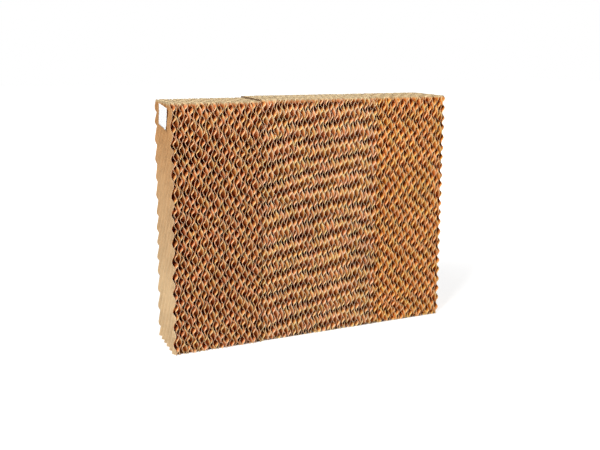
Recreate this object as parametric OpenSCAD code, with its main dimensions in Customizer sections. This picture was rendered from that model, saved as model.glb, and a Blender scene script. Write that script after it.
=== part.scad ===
// Evaporative cooling pad: three sections of cross-fluted paper, standing edge to edge.
// X runs across the pad, Y through it from front to back, Z up. Units are millimetres.

/* [Pad] */
// Width of the pad, kept to whole pairs of sheets
pad_width = 756; // [490:14:1260]
// Height of the middle and right sections
pad_height = 610; // [300:1:1800]
// Depth of the pad from front face to back face
pad_depth = 152; // [75:1:300]

/* [Sections] */
// Width of the left section, kept to whole pairs of sheets
left_width = 224; // [56:14:490]
// Width of the right section, kept to whole pairs of sheets
right_width = 210; // [56:14:490]
// Length by which the left section is cut shorter than the others
left_short = 3.5; // [0:0.5:15]
// Step of the left section in front of the middle one
left_forward = 5; // [0:0.5:15]
// Step of the right section behind the middle one
right_back = 2; // [0:0.5:15]

/* [Flutes] */
// Flute height, crest to crest, which is also the pitch of the sheets
flute_height = 7; // [5:0.1:10]
// Flute length, measured across the flutes
flute_length = 22.8; // [12:0.1:32]
// Fall of the steep flutes towards the back, from level
steep_angle = 57; // [35:1:65]
// Climb of the shallow flutes towards the back, from level
shallow_angle = 30; // [10:1:45]
// Thickness of the stiffened paper, measured across the pad
paper = 0.8; // [0.4:0.05:1.2]

/* [Drift] */
// Share of a flute by which each sheet of the outer sections lags the one before
outer_drift = 0.58; // [0:0.01:1]
// The same for the steep sheets of the middle section
middle_steep_drift = 0.96; // [0:0.01:1]
// The same for the shallow sheets of the middle section
middle_shallow_drift = 0.14; // [0:0.01:1]
// Share of a flute by which single sheets of the outer sections stand off that drift
outer_uneven = 0.12; // [0:0.01:0.25]
// The same for single sheets of the middle section
middle_uneven = 0.2; // [0:0.01:0.25]

/* [Label] */
// Width of the blank label on the left end, along the depth of the pad
label_width = 76; // [20:1:120]
// Height of the label
label_height = 51; // [20:1:120]
// Thickness of the label
label_thick = 0.3; // [0.1:0.05:1]
// Distance of the label from the back face
label_inset = 51; // [0:1:80]
// Distance of the label below the top edge
label_drop = 6.5; // [0:0.5:60]
// Droop of the label's front edge
label_tilt = 5; // [-15:1:15]

/* [Hidden] */
pair_pitch = 2 * flute_height;
all_pairs = round(pad_width / pair_pitch);
left_pairs = round(left_width / pair_pitch);
right_pairs = round(right_width / pair_pitch);
middle_pairs = all_pairs - left_pairs - right_pairs;
left_x = -all_pairs * pair_pitch / 2;
middle_x = left_x + left_pairs * pair_pitch;
right_x = middle_x + middle_pairs * pair_pitch;
left_height = pad_height - left_short;
middle_y = (left_forward - right_back) / 2;
left_y = middle_y - left_forward;
right_y = middle_y + right_back;
swing = (flute_height - paper) / 2;
uneven_turn = 137;
uneven_start = 90;

// Zigzag strip of paper seen along the flutes, with n half flutes each way from the middle
module strip(n, shift) {
  line = [for (i = [-n : n]) [(i % 2 == 0 ? -swing : swing), (i / 2 + shift) * flute_length]];
  polygon(concat([for (p = line) [p[0] - paper / 2, p[1]]],
                 [for (i = [len(line) - 1 : -1 : 0]) [line[i][0] + paper / 2, line[i][1]]]));
}

// One fluted sheet, its flutes climbing to the back and its crests counted from the top front corner
module sheet(height, angle, lag) {
  corner = (height * cos(angle) + pad_depth * sin(angle)) / 2;
  across = height * cos(angle) + pad_depth * abs(sin(angle));
  along = height * abs(sin(angle)) + pad_depth * cos(angle);
  intersection() {
    translate([-flute_height, -pad_depth / 2, 0]) cube([pair_pitch, pad_depth, height]);
    translate([0, 0, height / 2]) rotate([90 + angle, 0, 0])
      linear_extrude(along + flute_length, center = true)
        strip(ceil(across / flute_length) + 2, (corner / flute_length + lag) % 1);
  }
}

// Every second sheet of a section from the first, each about a share of a flute behind the last
module sheets(x, y, pairs, first, height, angle, drift, uneven) {
  for (k = [0 : pairs - 1])
    translate([x + k * pair_pitch + first * flute_height + flute_height / 2, y, 0])
      sheet(height, angle, k * drift + uneven * sin(k * uneven_turn + first * uneven_start));
}

module left_steep_sheets() color("peru")
  sheets(left_x, left_y, left_pairs, 0, left_height, -steep_angle, outer_drift, outer_uneven);
module left_shallow_sheets() color("tan")
  sheets(left_x, left_y, left_pairs, 1, left_height, shallow_angle, outer_drift, outer_uneven);
module middle_steep_sheets() color("peru")
  sheets(middle_x, middle_y, middle_pairs, 0, pad_height, -steep_angle, middle_steep_drift, middle_uneven);
module middle_shallow_sheets() color("tan")
  sheets(middle_x, middle_y, middle_pairs, 1, pad_height, shallow_angle,
         middle_shallow_drift, middle_uneven);
module right_steep_sheets() color("peru")
  sheets(right_x, right_y, right_pairs, 0, pad_height, -steep_angle, outer_drift, outer_uneven);
module right_shallow_sheets() color("tan")
  sheets(right_x, right_y, right_pairs, 1, pad_height, shallow_angle, outer_drift, outer_uneven);

// Blank paper label stuck across the outer crests of the left end
module label() color("white")
  translate([left_x - label_thick, left_y + pad_depth / 2 - label_inset, left_height - label_drop])
    rotate([label_tilt, 0, 0]) translate([0, -label_width, -label_height])
      cube([label_thick, label_width, label_height]);

left_steep_sheets();
left_shallow_sheets();
middle_steep_sheets();
middle_shallow_sheets();
right_steep_sheets();
right_shallow_sheets();
label();
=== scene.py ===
# Evaporative cooling pad of cross-fluted kraft paper, standing on a pale studio floor.
import math

import bpy
from mathutils import Matrix, Vector


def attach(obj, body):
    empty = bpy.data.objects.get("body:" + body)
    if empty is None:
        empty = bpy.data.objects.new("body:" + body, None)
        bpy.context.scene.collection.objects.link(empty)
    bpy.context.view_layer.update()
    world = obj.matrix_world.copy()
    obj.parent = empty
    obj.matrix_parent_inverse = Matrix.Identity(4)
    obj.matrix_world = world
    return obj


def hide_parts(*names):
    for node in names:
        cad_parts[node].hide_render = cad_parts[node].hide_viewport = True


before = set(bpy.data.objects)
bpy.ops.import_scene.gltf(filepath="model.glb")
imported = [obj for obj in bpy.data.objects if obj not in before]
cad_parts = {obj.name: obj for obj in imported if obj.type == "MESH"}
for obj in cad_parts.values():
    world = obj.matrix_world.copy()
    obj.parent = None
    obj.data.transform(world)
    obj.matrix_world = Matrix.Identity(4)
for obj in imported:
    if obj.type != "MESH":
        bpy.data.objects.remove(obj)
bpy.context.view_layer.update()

# Sizes in metres, the same as in the part's source
PAD_HEIGHT = 0.610
PAD_DEPTH = 0.152
LEFT_SHORT = 0.0035
LEFT_HEIGHT = PAD_HEIGHT - LEFT_SHORT
FLUTE_HEIGHT = 0.007
PAIR_PITCH = 2 * FLUTE_HEIGHT
FLUTE_LENGTH = 0.0228
STEEP = math.radians(57)
SHALLOW = math.radians(30)
LEFT_X, MIDDLE_X, RIGHT_X = -0.378, -0.154, 0.168
LEFT_Y, MIDDLE_Y, RIGHT_Y = -0.0035, 0.0015, 0.0035
LEFT_PAIRS, MIDDLE_PAIRS, RIGHT_PAIRS = 16, 23, 15
OUTER_DRIFT, MIDDLE_STEEP_DRIFT, MIDDLE_SHALLOW_DRIFT = 0.58, 0.96, 0.14
UNEVEN_TURN, UNEVEN_START = math.radians(137), math.radians(90)
LABEL_WIDTH, LABEL_HEIGHT, LABEL_THICK = 0.076, 0.051, 0.0003
LABEL_INSET, LABEL_DROP, LABEL_TILT = 0.051, 0.0065, math.radians(5)

# Paper nearer to its real thickness, with full crests that press a little into the next sheet
PAPER = 0.0004
PRESS = 0.00015
SWING = (FLUTE_HEIGHT - PAPER) / 2 + PRESS
CREST_POWER = 0.72

# Shares of a flute by which single sheets leave the drift, by which flutes wander, and of the rows' arch
OUTER_UNEVEN, MIDDLE_UNEVEN = 0.06, 0.08
WANDER = 1.2
ROW_LIFT, ROW_SAG = 0.46, 0.65

# Cut edges: how far in they are bent, how far sideways, and how uneven their tips are
BENT_RIM, DENT, FRAY = 0.012, 0.004, 0.0012

# Faces of a sheet, across its flutes and along them, and the bend in radians that shows as an edge
STEEP_COLUMNS, SHALLOW_COLUMNS, ROWS = 168, 212, 8
CRISP_BEND = 0.9

# Label: gap to the crests, half of its dip between them, lift of its corner and where the lift starts
LABEL_CLEAR, LABEL_DIP, LABEL_LIFT, LABEL_LIFT_FROM = 0.0007, 0.0002, 0.003, 1.35
LABEL_COLUMNS, LABEL_ROWS = 24, 16

# Colour of the paper by its distance from a sawn face, a pale rim and then painted shade deeper in the
# flutes: reach of the ramp, and its stops as shares of it
SHADE_REACH = 0.040
RIM_STOP, BODY_STOP, PAINTED_SHADE_STOP = 0.03, 0.10, 0.44

# Sandy rim along the top: where it starts to fade, and where it ends
TOP_RIM_FROM, TOP_RIM_TO = 0.001, 0.008

# Painted shade on the step between the sections: its start below the left section's top, and its turn to
# the left
STEP_BELOW, STEP_FACING = 0.002, -0.2

# Floor: half its side, half the patch under the pad that stays dark, and its glow near and far
FLOOR_HALF = 12
UNDER_X, UNDER_Y = 0.374, 0.0725
GLOW_NEAR, GLOW_FAR = 0.5, 1.8
GLOW_LOW, GLOW_FULL = 0.55, 1.0
SKY_LIGHT = 0.22

# Lamps of one size, turned to the middle of the pad
LAMP_SIZE = 1.7
LAMP_TARGET = (0, 0, 0.3)

# Camera, found from the pad's corners in the photograph, which is 600 pixels wide
FRAME_WIDTH = 600
SENSOR_WIDTH = 36.0
FOCAL_PIXELS, SHIFT_PIXELS = 754.8, -70
EYE = Vector((-0.8017, -1.7743, 0.7393))
YAW, PITCH, ROLL = math.radians(23.886), math.radians(8.233), math.radians(0.485)


# Turns an sRGB hex colour into linear RGBA
def paint(code):
    values = [int(code[i:i + 2], 16) / 255 for i in (1, 3, 5)]
    return tuple(v / 12.92 if v <= 0.04045 else ((v + 0.055) / 1.055) ** 2.4 for v in values) + (1.0,)


# Adds a node, sets its settings, and links or fills its inputs
def add(tree, kind, feeds=None, **settings):
    node = tree.nodes.new(kind)
    for name, value in settings.items():
        setattr(node, name, value)
    for place, value in (feeds or {}).items():
        if isinstance(value, bpy.types.NodeSocket):
            tree.links.new(value, node.inputs[place])
        else:
            node.inputs[place].default_value = value
    return node


# Fluted sheets: every second sheet of a section, rounded waves cut square at all four edges
def fluted_sheets_tree():
    tree = bpy.data.node_groups.new("fluted_sheets", "GeometryNodeTree")
    tree.interface.new_socket("Geometry", in_out="OUTPUT", socket_type="NodeSocketGeometry")
    sockets = {
        "Sheets": "Int", "Columns": "Int", "Rows": "Int",
        "First": "Vector", "Pair pitch": "Float", "Lean": "Float", "Angle": "Float",
        "Depth": "Float", "Height": "Float", "Half across": "Float", "Corner across": "Float",
        "Corner share": "Float", "Flute length": "Float", "Swing": "Float", "Paper": "Float",
        "Start": "Float", "Drift": "Float", "Uneven": "Float", "Uneven turn": "Float",
        "Uneven start": "Float", "Lift": "Float", "Sag": "Float", "Wander": "Float",
        "Fray": "Float", "Dent": "Float", "Seed": "Float", "Wall": "Material", "Cut edge": "Material",
    }
    for name, kind in sockets.items():
        tree.interface.new_socket(name, in_out="INPUT", socket_type="NodeSocket" + kind)
    size = tree.nodes.new("NodeGroupInput").outputs

    # A flat unit grid for each sheet, numbered along the section
    columns = add(tree, "ShaderNodeMath", {0: size["Columns"], 1: 1.0}, operation="ADD")
    rows = add(tree, "ShaderNodeMath", {0: size["Rows"], 1: 1.0}, operation="ADD")
    grid = add(tree, "GeometryNodeMeshGrid", {
        "Size X": 1.0, "Size Y": 1.0, "Vertices X": columns.outputs[0], "Vertices Y": rows.outputs[0]})
    where = add(tree, "GeometryNodeInputPosition")
    laid = add(tree, "GeometryNodeStoreNamedAttribute", {
        "Geometry": grid.outputs["Mesh"], "Name": "lay", "Value": where.outputs[0]},
        data_type="FLOAT_VECTOR", domain="POINT")
    line = add(tree, "GeometryNodeMeshLine", {"Count": size["Sheets"], "Offset": (0.01, 0.0, 0.0)})
    stack = add(tree, "GeometryNodeInstanceOnPoints", {
        "Points": line.outputs[0], "Instance": laid.outputs[0]})
    number = add(tree, "GeometryNodeInputIndex")
    numbered = add(tree, "GeometryNodeStoreNamedAttribute", {
        "Geometry": stack.outputs[0], "Name": "sheet", "Value": number.outputs[0]},
        data_type="FLOAT", domain="INSTANCE")
    flat = add(tree, "GeometryNodeRealizeInstances", {"Geometry": numbered.outputs[0]})

    # Distance across the flutes, with the two cut corners on grid lines
    lay = add(tree, "GeometryNodeInputNamedAttribute", {"Name": "lay"}, data_type="FLOAT_VECTOR")
    split = add(tree, "ShaderNodeSeparateXYZ", {0: lay.outputs[0]})
    share = add(tree, "ShaderNodeMath", {0: split.outputs[0], 1: 0.5}, operation="ADD")
    along = add(tree, "ShaderNodeMath", {0: split.outputs[1], 1: 0.5}, operation="ADD")
    far_share = add(tree, "ShaderNodeMath", {0: 1.0, 1: size["Corner share"]}, operation="SUBTRACT")
    low = add(tree, "ShaderNodeMath", {0: size["Half across"], 1: -1.0}, operation="MULTIPLY")
    low_corner = add(tree, "ShaderNodeMath", {0: size["Corner across"], 1: -1.0}, operation="MULTIPLY")
    middle_run = add(tree, "ShaderNodeMath", {0: size["Corner across"], 1: 2.0}, operation="MULTIPLY")
    end_run = add(tree, "ShaderNodeMath", {
        0: size["Half across"], 1: size["Corner across"]}, operation="SUBTRACT")
    run_a = add(tree, "ShaderNodeMapRange", {
        "Value": share.outputs[0], "From Min": 0.0, "From Max": size["Corner share"],
        "To Min": low.outputs[0], "To Max": low_corner.outputs[0]})
    run_b = add(tree, "ShaderNodeMapRange", {
        "Value": share.outputs[0], "From Min": size["Corner share"], "From Max": far_share.outputs[0],
        "To Min": 0.0, "To Max": middle_run.outputs[0]})
    run_c = add(tree, "ShaderNodeMapRange", {
        "Value": share.outputs[0], "From Min": far_share.outputs[0], "From Max": 1.0,
        "To Min": 0.0, "To Max": end_run.outputs[0]})
    run_ab = add(tree, "ShaderNodeMath", {0: run_a.outputs[0], 1: run_b.outputs[0]}, operation="ADD")
    across = add(tree, "ShaderNodeMath", {0: run_ab.outputs[0], 1: run_c.outputs[0]}, operation="ADD")

    # Each flute runs from the edge where it enters the sheet to the edge where it leaves
    sine = add(tree, "ShaderNodeMath", {0: size["Angle"]}, operation="SINE")
    cosine = add(tree, "ShaderNodeMath", {0: size["Angle"]}, operation="COSINE")
    tangent = add(tree, "ShaderNodeMath", {0: size["Angle"]}, operation="TANGENT")
    slope = add(tree, "ShaderNodeMath", {0: -1.0, 1: tangent.outputs[0]}, operation="DIVIDE")
    half_depth = add(tree, "ShaderNodeMath", {0: size["Depth"], 1: 0.5}, operation="MULTIPLY")
    half_height = add(tree, "ShaderNodeMath", {0: size["Height"], 1: 0.5}, operation="MULTIPLY")
    reach_d = add(tree, "ShaderNodeMath", {
        0: half_depth.outputs[0], 1: cosine.outputs[0]}, operation="DIVIDE")
    reach_h = add(tree, "ShaderNodeMath", {
        0: half_height.outputs[0], 1: sine.outputs[0]}, operation="DIVIDE")
    back_d = add(tree, "ShaderNodeMath", {0: reach_d.outputs[0], 1: -1.0}, operation="MULTIPLY")
    back_h = add(tree, "ShaderNodeMath", {0: reach_h.outputs[0], 1: -1.0}, operation="MULTIPLY")
    in_d = add(tree, "ShaderNodeMath", {
        0: across.outputs[0], 1: tangent.outputs[0], 2: back_d.outputs[0]}, operation="MULTIPLY_ADD")
    in_h = add(tree, "ShaderNodeMath", {
        0: across.outputs[0], 1: slope.outputs[0], 2: back_h.outputs[0]}, operation="MULTIPLY_ADD")
    out_d = add(tree, "ShaderNodeMath", {
        0: across.outputs[0], 1: tangent.outputs[0], 2: reach_d.outputs[0]}, operation="MULTIPLY_ADD")
    out_h = add(tree, "ShaderNodeMath", {
        0: across.outputs[0], 1: slope.outputs[0], 2: reach_h.outputs[0]}, operation="MULTIPLY_ADD")
    enter = add(tree, "ShaderNodeMath", {0: in_d.outputs[0], 1: in_h.outputs[0]}, operation="MAXIMUM")
    leave = add(tree, "ShaderNodeMath", {0: out_d.outputs[0], 1: out_h.outputs[0]}, operation="MINIMUM")
    run = add(tree, "ShaderNodeMapRange", {
        "Value": along.outputs[0], "From Min": 0.0, "From Max": 1.0,
        "To Min": enter.outputs[0], "To Max": leave.outputs[0]}, clamp=False)

    # Place in the pad before the wave is added, for the noises to read
    sheet = add(tree, "GeometryNodeInputNamedAttribute", {"Name": "sheet"}, data_type="FLOAT")
    shift = add(tree, "ShaderNodeMath", {
        0: sheet.outputs[0], 1: size["Pair pitch"]}, operation="MULTIPLY")
    lone = add(tree, "ShaderNodeCombineXYZ", {
        0: shift.outputs[0], 1: run.outputs[0], 2: across.outputs[0]})
    turned = add(tree, "ShaderNodeVectorRotate", {
        "Vector": lone.outputs[0], "Angle": size["Angle"]}, rotation_type="X_AXIS")
    lean = add(tree, "ShaderNodeCombineXYZ", {0: 1.0, 1: size["Lean"], 2: 1.0})
    leant = add(tree, "ShaderNodeVectorMath", {
        0: turned.outputs[0], 1: lean.outputs[0]}, operation="MULTIPLY")
    placed = add(tree, "ShaderNodeVectorMath", {0: leant.outputs[0], 1: size["First"]}, operation="ADD")
    seeded = add(tree, "ShaderNodeVectorMath", {0: placed.outputs[0], 1: size["Seed"]}, operation="ADD")

    # Each sheet lags the one before by the drift, and stands a little off it
    luck = add(tree, "ShaderNodeMath", {0: sheet.outputs[0], 1: size["Seed"]}, operation="ADD")
    sway = add(tree, "ShaderNodeMath", {
        0: sheet.outputs[0], 1: size["Uneven turn"], 2: size["Uneven start"]}, operation="MULTIPLY_ADD")
    off = add(tree, "ShaderNodeMath", {0: sway.outputs[0]}, operation="SINE")
    lag = add(tree, "ShaderNodeMath", {
        0: sheet.outputs[0], 1: size["Drift"], 2: size["Start"]}, operation="MULTIPLY_ADD")
    lag_j = add(tree, "ShaderNodeMath", {
        0: off.outputs[0], 1: size["Uneven"], 2: lag.outputs[0]}, operation="MULTIPLY_ADD")

    # Rows that arch: they rise from one side of the section, lie level and fall at the other
    last = add(tree, "ShaderNodeMath", {0: size["Sheets"], 1: 1.0}, operation="SUBTRACT")
    in_section = add(tree, "ShaderNodeMath", {
        0: sheet.outputs[0], 1: last.outputs[0]}, operation="DIVIDE")
    aside = add(tree, "ShaderNodeMath", {
        0: in_section.outputs[0], 1: 2.0, 2: -1.0}, operation="MULTIPLY_ADD")
    lag_l = add(tree, "ShaderNodeMath", {
        0: aside.outputs[0], 1: size["Lift"], 2: lag_j.outputs[0]}, operation="MULTIPLY_ADD")
    aside_2 = add(tree, "ShaderNodeMath", {
        0: aside.outputs[0], 1: aside.outputs[0]}, operation="MULTIPLY")
    aside_4 = add(tree, "ShaderNodeMath", {
        0: aside_2.outputs[0], 1: aside_2.outputs[0]}, operation="MULTIPLY")
    sag = add(tree, "ShaderNodeMath", {0: aside_4.outputs[0], 1: size["Sag"]}, operation="MULTIPLY")
    lag_s = add(tree, "ShaderNodeMath", {0: lag_l.outputs[0], 1: sag.outputs[0]}, operation="SUBTRACT")

    # Flutes wander over about 125 mm, and their waves have full crests
    drift_noise = add(tree, "ShaderNodeTexNoise", {
        "Vector": seeded.outputs[0], "Scale": 8.0, "Detail": 1.0})
    drift_even = add(tree, "ShaderNodeMath", {0: drift_noise.outputs[0], 1: 0.5}, operation="SUBTRACT")
    lag_w = add(tree, "ShaderNodeMath", {
        0: drift_even.outputs[0], 1: size["Wander"], 2: lag_s.outputs[0]}, operation="MULTIPLY_ADD")
    flute = add(tree, "ShaderNodeMath", {
        0: across.outputs[0], 1: size["Flute length"]}, operation="DIVIDE")
    turn = add(tree, "ShaderNodeMath", {0: flute.outputs[0], 1: lag_w.outputs[0]}, operation="SUBTRACT")
    angle = add(tree, "ShaderNodeMath", {0: turn.outputs[0], 1: 2 * math.pi}, operation="MULTIPLY")
    plain = add(tree, "ShaderNodeMath", {0: angle.outputs[0]}, operation="COSINE")
    way = add(tree, "ShaderNodeMath", {0: plain.outputs[0]}, operation="SIGN")
    reach = add(tree, "ShaderNodeMath", {0: plain.outputs[0]}, operation="ABSOLUTE")
    full = add(tree, "ShaderNodeMath", {0: reach.outputs[0], 1: CREST_POWER}, operation="POWER")
    wave = add(tree, "ShaderNodeMath", {0: full.outputs[0], 1: way.outputs[0]}, operation="MULTIPLY")
    swing = add(tree, "ShaderNodeMath", {0: size["Swing"], 1: -1.0}, operation="MULTIPLY")
    wave_x = add(tree, "ShaderNodeMath", {0: wave.outputs[0], 1: swing.outputs[0]}, operation="MULTIPLY")

    # The cut edges are bent sideways every 18 mm or so, and their tips are uneven every 6 mm
    depth_split = add(tree, "ShaderNodeSeparateXYZ", {0: leant.outputs[0]})
    inward = add(tree, "ShaderNodeMath", {0: depth_split.outputs[1]}, operation="ABSOLUTE")
    rim = add(tree, "ShaderNodeMath", {0: half_depth.outputs[0], 1: -BENT_RIM}, operation="ADD")
    near = add(tree, "ShaderNodeMapRange", {
        "Value": inward.outputs[0], "From Min": rim.outputs[0], "From Max": half_depth.outputs[0],
        "To Min": 0.0, "To Max": 1.0}, interpolation_type="SMOOTHSTEP")
    dent_noise = add(tree, "ShaderNodeTexNoise", {
        "Vector": seeded.outputs[0], "W": luck.outputs[0], "Scale": 55.0, "Detail": 1.0},
        noise_dimensions="4D")
    dent_even = add(tree, "ShaderNodeMath", {0: dent_noise.outputs[0], 1: 0.5}, operation="SUBTRACT")
    dent = add(tree, "ShaderNodeMath", {
        0: dent_even.outputs[0], 1: near.outputs[0]}, operation="MULTIPLY")
    wave_d = add(tree, "ShaderNodeMath", {
        0: dent.outputs[0], 1: size["Dent"], 2: wave_x.outputs[0]}, operation="MULTIPLY_ADD")
    fray_noise = add(tree, "ShaderNodeTexNoise", {
        "Vector": seeded.outputs[0], "W": luck.outputs[0], "Scale": 160.0, "Detail": 2.0},
        noise_dimensions="4D")
    fray_even = add(tree, "ShaderNodeMath", {0: fray_noise.outputs[0], 1: 0.5}, operation="SUBTRACT")
    tip = add(tree, "ShaderNodeMath", {0: split.outputs[1], 1: 2.0}, operation="MULTIPLY")
    tip_only = add(tree, "ShaderNodeMath", {0: tip.outputs[0], 1: 9.0}, operation="POWER")
    fray = add(tree, "ShaderNodeMath", {0: fray_even.outputs[0], 1: size["Fray"]}, operation="MULTIPLY")
    fray_s = add(tree, "ShaderNodeMath", {
        0: fray.outputs[0], 1: tip_only.outputs[0]}, operation="MULTIPLY")
    fray_run = add(tree, "ShaderNodeCombineXYZ", {1: fray_s.outputs[0]})
    fray_turn = add(tree, "ShaderNodeVectorRotate", {
        "Vector": fray_run.outputs[0], "Angle": size["Angle"]}, rotation_type="X_AXIS")
    fray_lean = add(tree, "ShaderNodeVectorMath", {
        0: fray_turn.outputs[0], 1: lean.outputs[0]}, operation="MULTIPLY")

    # One face of the paper, then the other, a paper's thickness apart and closed at the cuts
    half_paper = add(tree, "ShaderNodeMath", {0: size["Paper"], 1: 0.5}, operation="MULTIPLY")
    side = add(tree, "ShaderNodeMath", {
        0: half_paper.outputs[0], 1: size["Lean"], 2: wave_d.outputs[0]}, operation="MULTIPLY_ADD")
    bump = add(tree, "ShaderNodeCombineXYZ", {0: side.outputs[0]})
    wavy = add(tree, "ShaderNodeVectorMath", {0: placed.outputs[0], 1: bump.outputs[0]}, operation="ADD")
    rough = add(tree, "ShaderNodeVectorMath", {
        0: wavy.outputs[0], 1: fray_lean.outputs[0]}, operation="ADD")
    flow = add(tree, "ShaderNodeCombineXYZ", {
        0: run.outputs[0], 1: across.outputs[0], 2: luck.outputs[0]})
    marked = add(tree, "GeometryNodeStoreNamedAttribute", {
        "Geometry": flat.outputs[0], "Name": "flow", "Value": flow.outputs[0]},
        data_type="FLOAT_VECTOR", domain="POINT")
    face = add(tree, "GeometryNodeSetPosition", {
        "Geometry": marked.outputs[0], "Position": rough.outputs[0]})
    thick = add(tree, "ShaderNodeMath", {0: size["Paper"], 1: size["Lean"]}, operation="MULTIPLY")
    thick_back = add(tree, "ShaderNodeMath", {0: thick.outputs[0], 1: -1.0}, operation="MULTIPLY")
    step = add(tree, "ShaderNodeCombineXYZ", {0: thick_back.outputs[0]})
    grown = add(tree, "GeometryNodeExtrudeMesh", {
        "Mesh": face.outputs[0], "Offset": step.outputs[0], "Offset Scale": 1.0, "Individual": False},
        mode="FACES")
    turned_face = add(tree, "GeometryNodeFlipFaces", {"Mesh": face.outputs[0]})
    both = add(tree, "GeometryNodeJoinGeometry", {"Geometry": grown.outputs["Mesh"]})
    tree.links.new(turned_face.outputs[0], both.inputs[0])
    closed = add(tree, "GeometryNodeMergeByDistance", {"Geometry": both.outputs[0], "Distance": 1e-6})

    # Smooth waves with crisp cuts, and the two finishes
    smooth = add(tree, "GeometryNodeSetShadeSmooth", {"Geometry": closed.outputs[0]}, domain="FACE")
    bend = add(tree, "GeometryNodeInputMeshEdgeAngle")
    crisp = add(tree, "ShaderNodeMath", {0: bend.outputs[0], 1: CRISP_BEND}, operation="GREATER_THAN")
    crisp_edges = add(tree, "GeometryNodeSetShadeSmooth", {
        "Geometry": smooth.outputs[0], "Selection": crisp.outputs[0], "Shade Smooth": False},
        domain="EDGE")
    real = add(tree, "GeometryNodeRealizeInstances", {"Geometry": crisp_edges.outputs[0]})
    walls = add(tree, "GeometryNodeSetMaterial", {"Geometry": real.outputs[0], "Material": size["Wall"]})
    edges = add(tree, "GeometryNodeSetMaterial", {
        "Geometry": walls.outputs[0], "Selection": grown.outputs["Side"], "Material": size["Cut edge"]})
    add(tree, "NodeGroupOutput", {0: edges.outputs[0]})
    return tree


# Runs a node tree with its named inputs and keeps the result as a plain mesh
def grow(name, tree, values):
    piece = bpy.data.objects.new(name, bpy.data.meshes.new(name))
    bpy.context.collection.objects.link(piece)
    maker = piece.modifiers.new("make", "NODES")
    maker.node_group = tree
    for item in tree.interface.items_tree:
        if item.in_out == "INPUT" and item.name in values:
            maker[item.identifier] = values[item.name]
    piece.update_tag()
    ready = bpy.context.evaluated_depsgraph_get()
    mesh = bpy.data.meshes.new_from_object(
        piece.evaluated_get(ready), preserve_all_data_layers=True, depsgraph=ready)
    piece.modifiers.clear()
    piece.data = mesh
    mesh.name = name
    return piece


# Starts a material with an empty node tree
def bare_material(name):
    material = bpy.data.materials.new(name)
    material.use_nodes = True
    material.node_tree.nodes.clear()
    return material
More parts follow.
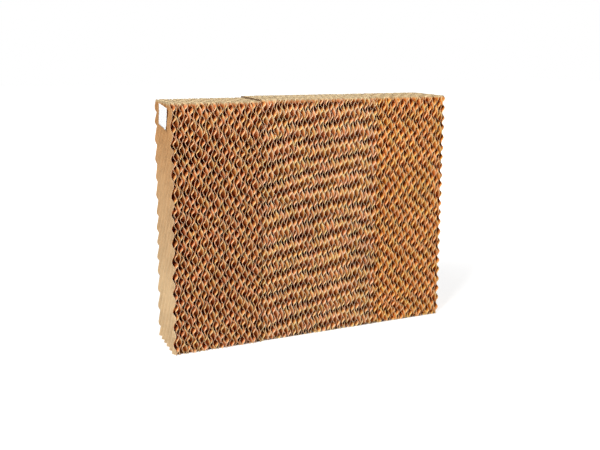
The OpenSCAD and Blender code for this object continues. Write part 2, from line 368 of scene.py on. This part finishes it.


# Resin-stiffened kraft paper: matt and mottled, pale at the sawn rims, with painted shade that turns it
# dark maroon deep in the flutes
def kraft_paper(name, middle_y, height, rim, body, deep_painted_shade):
    material = bare_material(name)
    tree = material.node_tree
    place = add(tree, "ShaderNodeTexCoord")
    flow = add(tree, "ShaderNodeAttribute", attribute_name="flow")

    # Distance in from the nearest sawn face of the pad
    split = add(tree, "ShaderNodeSeparateXYZ", {0: place.outputs["Object"]})
    through = add(tree, "ShaderNodeMath", {0: split.outputs[1], 1: middle_y}, operation="SUBTRACT")
    aside = add(tree, "ShaderNodeMath", {0: through.outputs[0]}, operation="ABSOLUTE")
    from_face = add(tree, "ShaderNodeMath", {0: PAD_DEPTH / 2, 1: aside.outputs[0]}, operation="SUBTRACT")
    from_top = add(tree, "ShaderNodeMath", {0: height, 1: split.outputs[2]}, operation="SUBTRACT")
    near = add(tree, "ShaderNodeMath", {
        0: from_top.outputs[0], 1: split.outputs[2]}, operation="MINIMUM")
    inward = add(tree, "ShaderNodeMath", {
        0: near.outputs[0], 1: from_face.outputs[0]}, operation="MINIMUM")
    # Pale sawn rim, then the paper's body, then painted shade that darkens the walls deeper in the flutes
    depth = add(tree, "ShaderNodeMapRange", {
        "Value": inward.outputs[0], "From Min": 0.0, "From Max": SHADE_REACH})
    rim_to_painted_shade = add(tree, "ShaderNodeValToRGB", {0: depth.outputs[0]})
    stops = rim_to_painted_shade.color_ramp.elements
    stops[0].position, stops[0].color = RIM_STOP, paint(rim)
    stops[1].position, stops[1].color = PAINTED_SHADE_STOP, paint(deep_painted_shade)
    stops.new(BODY_STOP).color = paint(body)

    # Redder and yellower patches of resin, about 20 mm across, laid over the rims and the painted shade
    patch = add(tree, "ShaderNodeTexNoise", {
        "Vector": place.outputs["Object"], "Scale": 50.0, "Detail": 2.0, "Roughness": 0.5})
    hue = add(tree, "ShaderNodeValToRGB", {0: patch.outputs[0]})
    hue_stops = hue.color_ramp.elements
    hue_stops[0].position, hue_stops[0].color = 0.36, paint("#FFEEE7")
    hue_stops[1].position, hue_stops[1].color = 0.64, paint("#F6F8CC")
    resin_and_painted_shade = add(tree, "ShaderNodeVectorMath", {
        0: rim_to_painted_shade.outputs[0], 1: hue.outputs[0]}, operation="MULTIPLY")

    # The end sheets' outer faces: tan, with painted light that makes them paler towards the foot
    along = add(tree, "ShaderNodeMath", {0: split.outputs[0]}, operation="ABSOLUTE")
    facing = add(tree, "ShaderNodeSeparateXYZ", {0: place.outputs["Normal"]})
    outward = add(tree, "ShaderNodeMath", {
        0: facing.outputs[0], 1: split.outputs[0]}, operation="MULTIPLY")
    outside = add(tree, "ShaderNodeMath", {0: outward.outputs[0], 1: 0.0}, operation="GREATER_THAN")
    last = add(tree, "ShaderNodeMath", {
        0: along.outputs[0], 1: -LEFT_X - FLUTE_HEIGHT}, operation="GREATER_THAN")
    at_end = add(tree, "ShaderNodeMath", {
        0: last.outputs[0], 1: outside.outputs[0]}, operation="MULTIPLY")
    up = add(tree, "ShaderNodeMath", {0: split.outputs[2], 1: height}, operation="DIVIDE")
    end_tan_and_painted_light = add(tree, "ShaderNodeValToRGB", {0: up.outputs[0]})
    end_tan_and_painted_light_stops = end_tan_and_painted_light.color_ramp.elements
    end_tan_and_painted_light_stops[0].position, end_tan_and_painted_light_stops[0].color = 0.20, paint("#DEBE92")
    end_tan_and_painted_light_stops[1].position, end_tan_and_painted_light_stops[1].color = 0.95, paint("#BE8B57")
    ended = add(tree, "ShaderNodeMix", {
        "Factor": at_end.outputs[0], "A": resin_and_painted_shade.outputs[0], "B": end_tan_and_painted_light.outputs[0]}, data_type="RGBA")

    # The sandy top rim
    top_near = add(tree, "ShaderNodeMapRange", {
        "Value": from_top.outputs[0], "From Min": TOP_RIM_FROM, "From Max": TOP_RIM_TO,
        "To Min": 1.0, "To Max": 0.0})
    topped = add(tree, "ShaderNodeMix", {
        "Factor": top_near.outputs[0], "A": ended.outputs[2], "B": paint("#C5B18A")}, data_type="RGBA")

    # Painted shade: a dark strip on the middle section's first sheet, where it stands above the left
    # section in the gap between them
    step_side = add(tree, "ShaderNodeMath", {
        0: split.outputs[0], 1: MIDDLE_X + FLUTE_HEIGHT / 2, 2: FLUTE_HEIGHT / 2}, operation="COMPARE")
    step_face = add(tree, "ShaderNodeMath", {0: facing.outputs[0], 1: STEP_FACING}, operation="LESS_THAN")
    step_high = add(tree, "ShaderNodeMath", {
        0: split.outputs[2], 1: LEFT_HEIGHT - STEP_BELOW}, operation="GREATER_THAN")
    step_near = add(tree, "ShaderNodeMath", {
        0: step_side.outputs[0], 1: step_face.outputs[0]}, operation="MULTIPLY")
    step = add(tree, "ShaderNodeMath", {
        0: step_near.outputs[0], 1: step_high.outputs[0]}, operation="MULTIPLY")
    step_painted_shade = add(tree, "ShaderNodeMix", {
        "Factor": step.outputs[0], "A": topped.outputs[2], "B": paint("#886D4F")}, data_type="RGBA")

    # Resin mottle about 30 mm across, tone from sheet to sheet, and roller lines along the flutes
    flow_split = add(tree, "ShaderNodeSeparateXYZ", {0: flow.outputs["Vector"]})
    tone = add(tree, "ShaderNodeTexWhiteNoise", {"W": flow_split.outputs[2]}, noise_dimensions="1D")
    mottle = add(tree, "ShaderNodeTexNoise", {
        "Vector": place.outputs["Object"], "Scale": 33.0, "Detail": 4.0, "Roughness": 0.55})
    drawn = add(tree, "ShaderNodeMapping", {"Vector": flow.outputs["Vector"], "Scale": (25.0, 700.0, 3.0)})
    lines = add(tree, "ShaderNodeTexNoise", {"Vector": drawn.outputs[0], "Scale": 1.0, "Detail": 2.0})
    mixed = add(tree, "ShaderNodeMath", {
        0: mottle.outputs[0], 1: 0.45, 2: 0.56}, operation="MULTIPLY_ADD")
    lined = add(tree, "ShaderNodeMath", {
        0: lines.outputs[0], 1: 0.22, 2: mixed.outputs[0]}, operation="MULTIPLY_ADD")
    toned = add(tree, "ShaderNodeMath", {
        0: tone.outputs[0], 1: 0.20, 2: lined.outputs[0]}, operation="MULTIPLY_ADD")
    tint = add(tree, "ShaderNodeVectorMath", {
        0: step_painted_shade.outputs[2], "Scale": toned.outputs[0]}, operation="SCALE")

    # Paper fibres, drawn at about 1.5 mm so that they show
    fibres = add(tree, "ShaderNodeTexNoise", {
        "Vector": place.outputs["Object"], "Scale": 700.0, "Detail": 3.0})
    relief = add(tree, "ShaderNodeBump", {
        "Height": fibres.outputs[0], "Strength": 0.25, "Distance": 0.0004})
    shader = add(tree, "ShaderNodeBsdfPrincipled", {
        "Base Color": tint.outputs[0], "Roughness": 0.82, "IOR": 1.45, "Specular IOR Level": 0.25,
        "Normal": relief.outputs[0]})
    add(tree, "ShaderNodeOutputMaterial", {"Surface": shader.outputs[0]})
    return material


# Sawn kraft edge: pale torn fibres with flecks of dark resin, about 4 mm apart
def sawn_edge(name, pale, fleck):
    material = bare_material(name)
    tree = material.node_tree
    place = add(tree, "ShaderNodeTexCoord")
    grain = add(tree, "ShaderNodeTexNoise", {
        "Vector": place.outputs["Object"], "Scale": 260.0, "Detail": 3.0, "Roughness": 0.6})
    colour = add(tree, "ShaderNodeValToRGB", {0: grain.outputs[0]})
    stops = colour.color_ramp.elements
    stops[0].position, stops[0].color = 0.30, paint(fleck)
    stops[1].position, stops[1].color = 0.46, paint(pale)
    relief = add(tree, "ShaderNodeBump", {
        "Height": grain.outputs[0], "Strength": 0.4, "Distance": 0.0005})
    shader = add(tree, "ShaderNodeBsdfPrincipled", {
        "Base Color": colour.outputs[0], "Roughness": 0.9, "IOR": 1.45, "Specular IOR Level": 0.2,
        "Normal": relief.outputs[0]})
    add(tree, "ShaderNodeOutputMaterial", {"Surface": shader.outputs[0]})
    return material


# Coated label stock: smooth white paper, a little grey in patches of about 11 mm where dust lies
def label_stock(name, white, dusty):
    material = bare_material(name)
    tree = material.node_tree
    place = add(tree, "ShaderNodeTexCoord")
    dust = add(tree, "ShaderNodeTexNoise", {
        "Vector": place.outputs["Object"], "Scale": 90.0, "Detail": 4.0, "Roughness": 0.6})
    colour = add(tree, "ShaderNodeValToRGB", {0: dust.outputs[0]})
    stops = colour.color_ramp.elements
    stops[0].position, stops[0].color = 0.30, paint(dusty)
    stops[1].position, stops[1].color = 0.55, paint(white)
    sheen = add(tree, "ShaderNodeMapRange", {
        "Value": dust.outputs[0], "From Min": 0.3, "From Max": 0.7, "To Min": 0.6, "To Max": 0.4})
    shader = add(tree, "ShaderNodeBsdfPrincipled", {
        "Base Color": colour.outputs[0], "Roughness": sheen.outputs[0], "IOR": 1.5})
    add(tree, "ShaderNodeOutputMaterial", {"Surface": shader.outputs[0]})
    return material


# Blank label: thin paper that dips a little between the crests and lifts at its lower front corner
def blank_label(name, across, down):
    corner = Vector((LEFT_X, LEFT_Y + PAD_DEPTH / 2 - LABEL_INSET, LEFT_HEIGHT - LABEL_DROP))
    forward = Vector((0.0, -math.cos(LABEL_TILT), -math.sin(LABEL_TILT)))
    below = Vector((0.0, math.sin(LABEL_TILT), -math.cos(LABEL_TILT)))
    points = []
    for j in range(down + 1):
        for i in range(across + 1):
            a, b = i / across, j / down
            spot = corner + forward * LABEL_WIDTH * a + below * LABEL_HEIGHT * b
            run = spot.z * math.cos(STEEP) - spot.y * math.sin(STEEP)
            dip = LABEL_DIP * (1 + math.cos(2 * math.pi * run / FLUTE_LENGTH))
            loose = max(0.0, a + b - LABEL_LIFT_FROM) / (2 - LABEL_LIFT_FROM)
            out = dip - LABEL_LIFT * loose ** 2 - LABEL_THICK - LABEL_CLEAR
            points.append(spot + Vector((out, 0.0, 0.0)))
    row = across + 1
    faces = [(j * row + i, (j + 1) * row + i, (j + 1) * row + i + 1, j * row + i + 1)
             for j in range(down) for i in range(across)]
    mesh = bpy.data.meshes.new(name)
    mesh.from_pydata(points, [], faces)
    mesh.shade_smooth()
    piece = bpy.data.objects.new(name, mesh)
    bpy.context.collection.objects.link(piece)
    body = piece.modifiers.new("body", "SOLIDIFY")
    body.thickness = LABEL_THICK
    return piece


# Says whether the camera looks at a surface, straight or through gloss or glass
def looked_at(tree):
    ray = add(tree, "ShaderNodeLightPath")
    seen = add(tree, "ShaderNodeMath", {
        0: ray.outputs["Is Camera Ray"], 1: ray.outputs["Is Glossy Ray"]}, operation="MAXIMUM")
    return add(tree, "ShaderNodeMath", {
        0: seen.outputs[0], 1: ray.outputs["Is Transmission Ray"]}, operation="MAXIMUM")


# Matt studio floor: it keeps the pad's shadow and glows out to white, but not under the pad
def studio_floor(name):
    material = bare_material(name)
    tree = material.node_tree
    spot = add(tree, "ShaderNodeTexCoord")
    reach = add(tree, "ShaderNodeVectorMath", {0: spot.outputs["Object"]}, operation="LENGTH")
    level = add(tree, "ShaderNodeMapRange", {
        "Value": reach.outputs["Value"], "From Min": GLOW_NEAR, "From Max": GLOW_FAR,
        "To Min": GLOW_LOW, "To Max": GLOW_FULL}, interpolation_type="SMOOTHSTEP")
    under = add(tree, "ShaderNodeVectorMath", {
        0: spot.outputs["Object"], 1: (1 / UNDER_X, 1 / UNDER_Y, 0.0)}, operation="MULTIPLY")
    aside = add(tree, "ShaderNodeVectorMath", {0: under.outputs[0]}, operation="ABSOLUTE")
    aside_split = add(tree, "ShaderNodeSeparateXYZ", {0: aside.outputs[0]})
    edge = add(tree, "ShaderNodeMath", {
        0: aside_split.outputs[0], 1: aside_split.outputs[1]}, operation="MAXIMUM")
    clear = add(tree, "ShaderNodeMath", {0: edge.outputs[0], 1: 1.0}, operation="GREATER_THAN")
    open_level = add(tree, "ShaderNodeMath", {
        0: level.outputs[0], 1: clear.outputs[0]}, operation="MULTIPLY")
    seen_level = add(tree, "ShaderNodeMath", {
        0: open_level.outputs[0], 1: looked_at(tree).outputs[0]}, operation="MULTIPLY")
    matt = add(tree, "ShaderNodeBsdfDiffuse", {"Color": paint("#BCBCBC")})
    glow = add(tree, "ShaderNodeEmission", {
        "Color": paint("#FFFFFF"), "Strength": seen_level.outputs[0]})
    both = add(tree, "ShaderNodeAddShader", {0: matt.outputs[0], 1: glow.outputs[0]})
    add(tree, "ShaderNodeOutputMaterial", {"Surface": both.outputs[0]})
    return material


# White surround where it is looked at, softer white for the light it gives
def white_surround(name):
    world = bpy.data.worlds.new(name)
    world.use_nodes = True
    tree = world.node_tree
    tree.nodes.clear()
    white = add(tree, "ShaderNodeBackground", {"Color": paint("#FFFFFF"), "Strength": 1.0})
    soft = add(tree, "ShaderNodeBackground", {"Color": paint("#FFFFFF"), "Strength": SKY_LIGHT})
    both = add(tree, "ShaderNodeMixShader", {
        0: looked_at(tree).outputs[0], 1: soft.outputs[0], 2: white.outputs[0]})
    add(tree, "ShaderNodeOutputWorld", {"Surface": both.outputs[0]})
    return world


# Soft area lamp at a place, turned to the pad
def lamp(name, at, power):
    light = bpy.data.lights.new(name, "AREA")
    light.shape = "SQUARE"
    light.size = LAMP_SIZE
    light.energy = power
    holder = bpy.data.objects.new(name, light)
    holder.location = at
    holder.rotation_mode = "QUATERNION"
    holder.rotation_quaternion = (Vector(LAMP_TARGET) - Vector(at)).to_track_quat("-Z", "Y")
    bpy.context.collection.objects.link(holder)


# The three sections, each with its steep sheets and its shallow sheets
# Each paper: its rim, its body and the painted shade deep in its flutes, then its sawn edge
finishes = {
    "left": (
        kraft_paper("kraft_paper_left", LEFT_Y, LEFT_HEIGHT, "#DDBC96", "#D88F57", "#883304"),
        sawn_edge("sawn_kraft_left", "#EAD1B2", "#C29066")),
    "middle": (
        kraft_paper("kraft_paper_middle", MIDDLE_Y, PAD_HEIGHT, "#E4C8A4", "#E09B63", "#802E02"),
        sawn_edge("sawn_kraft_middle", "#F0DDC1", "#CA9F6E")),
    "right": (
        kraft_paper("kraft_paper_right", RIGHT_Y, PAD_HEIGHT, "#E3BD88", "#E29145", "#822B00"),
        sawn_edge("sawn_kraft_right", "#EDD1A8", "#C28F58")),
}
sections = [
    ("left", LEFT_X, LEFT_Y, LEFT_PAIRS, LEFT_HEIGHT, OUTER_DRIFT, OUTER_DRIFT, OUTER_UNEVEN),
    ("middle", MIDDLE_X, MIDDLE_Y, MIDDLE_PAIRS, PAD_HEIGHT,
     MIDDLE_STEEP_DRIFT, MIDDLE_SHALLOW_DRIFT, MIDDLE_UNEVEN),
    ("right", RIGHT_X, RIGHT_Y, RIGHT_PAIRS, PAD_HEIGHT, OUTER_DRIFT, OUTER_DRIFT, OUTER_UNEVEN),
]
sheets_tree = fluted_sheets_tree()
for number, (name, x, y, pairs, height, steep_drift, shallow_drift, uneven) in enumerate(sections):
    for kind, place, angle, lean, drift, columns in (
            ("steep", 0.25, STEEP, -1.0, steep_drift, STEEP_COLUMNS),
            ("shallow", 0.75, SHALLOW, 1.0, shallow_drift, SHALLOW_COLUMNS)):
        up, over = height * math.cos(angle) / 2, PAD_DEPTH * math.sin(angle) / 2
        corner = round(columns * over / (up + over))
        node = name + "_" + kind + "_sheets"
        arched = node == "middle_steep_sheets"
        piece = grow(node + "_fluted", sheets_tree, {
            "Sheets": pairs, "Columns": columns, "Rows": ROWS,
            "First": (x + place * PAIR_PITCH, y, height / 2), "Pair pitch": PAIR_PITCH, "Lean": lean,
            "Angle": angle, "Depth": PAD_DEPTH, "Height": height,
            "Half across": up + over, "Corner across": up - over, "Corner share": corner / columns,
            "Flute length": FLUTE_LENGTH, "Swing": SWING, "Paper": PAPER,
            "Start": (up + lean * over) / FLUTE_LENGTH, "Drift": drift,
            "Uneven": uneven, "Uneven turn": UNEVEN_TURN,
            "Uneven start": 0.0 if kind == "steep" else UNEVEN_START,
            "Lift": ROW_LIFT if arched else 0.0, "Sag": ROW_SAG if arched else 0.0,
            "Wander": WANDER, "Fray": FRAY, "Dent": DENT,
            "Seed": 3.0 + 40.0 * number + (17.0 if kind == "steep" else 0.0),
            "Wall": finishes[name][0], "Cut edge": finishes[name][1],
        })
        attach(piece, "root")
        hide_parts(node)

# The label on the left end
label = blank_label("label_sheet", LABEL_COLUMNS, LABEL_ROWS)
label.data.materials.append(label_stock("label_stock", "#EEF0F2", "#E0E1DF"))
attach(label, "root")
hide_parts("label")

# Floor, surround and lamps
floor_mesh = bpy.data.meshes.new("floor")
floor_corners = [(x * FLOOR_HALF, y * FLOOR_HALF, 0) for x, y in ((-1, -1), (1, -1), (1, 1), (-1, 1))]
floor_mesh.from_pydata(floor_corners, [], [(0, 1, 2, 3)])
floor_mesh.materials.append(studio_floor("studio_floor"))
floor = bpy.data.objects.new("floor", floor_mesh)
bpy.context.collection.objects.link(floor)
bpy.context.scene.world = white_surround("studio")
lamp("key", (-3.5, -2.5, 4.5), 404)
lamp("fill", (2.1, -4.8, 3.2), 140)
lamp("back", (3.2, 3.4, 2.6), 150)

# Camera at the photograph's place
ahead = Vector((math.sin(YAW) * math.cos(PITCH), math.cos(YAW) * math.cos(PITCH), -math.sin(PITCH)))
level = Vector((math.cos(YAW), -math.sin(YAW), 0.0))
upright = level.cross(ahead)
right = level * math.cos(ROLL) + upright * math.sin(ROLL)
above = upright * math.cos(ROLL) - level * math.sin(ROLL)
camera_data = bpy.data.cameras.new("camera")
camera_data.sensor_width = SENSOR_WIDTH
camera_data.lens = FOCAL_PIXELS / FRAME_WIDTH * SENSOR_WIDTH
camera_data.shift_y = SHIFT_PIXELS / FRAME_WIDTH
camera = bpy.data.objects.new("camera", camera_data)
camera.matrix_world = Matrix((
    (right.x, above.x, -ahead.x, EYE.x), (right.y, above.y, -ahead.y, EYE.y),
    (right.z, above.z, -ahead.z, EYE.z), (0, 0, 0, 1)))
bpy.context.collection.objects.link(camera)
bpy.context.scene.camera = camera
bpy.context.scene.view_settings.view_transform = "Standard"
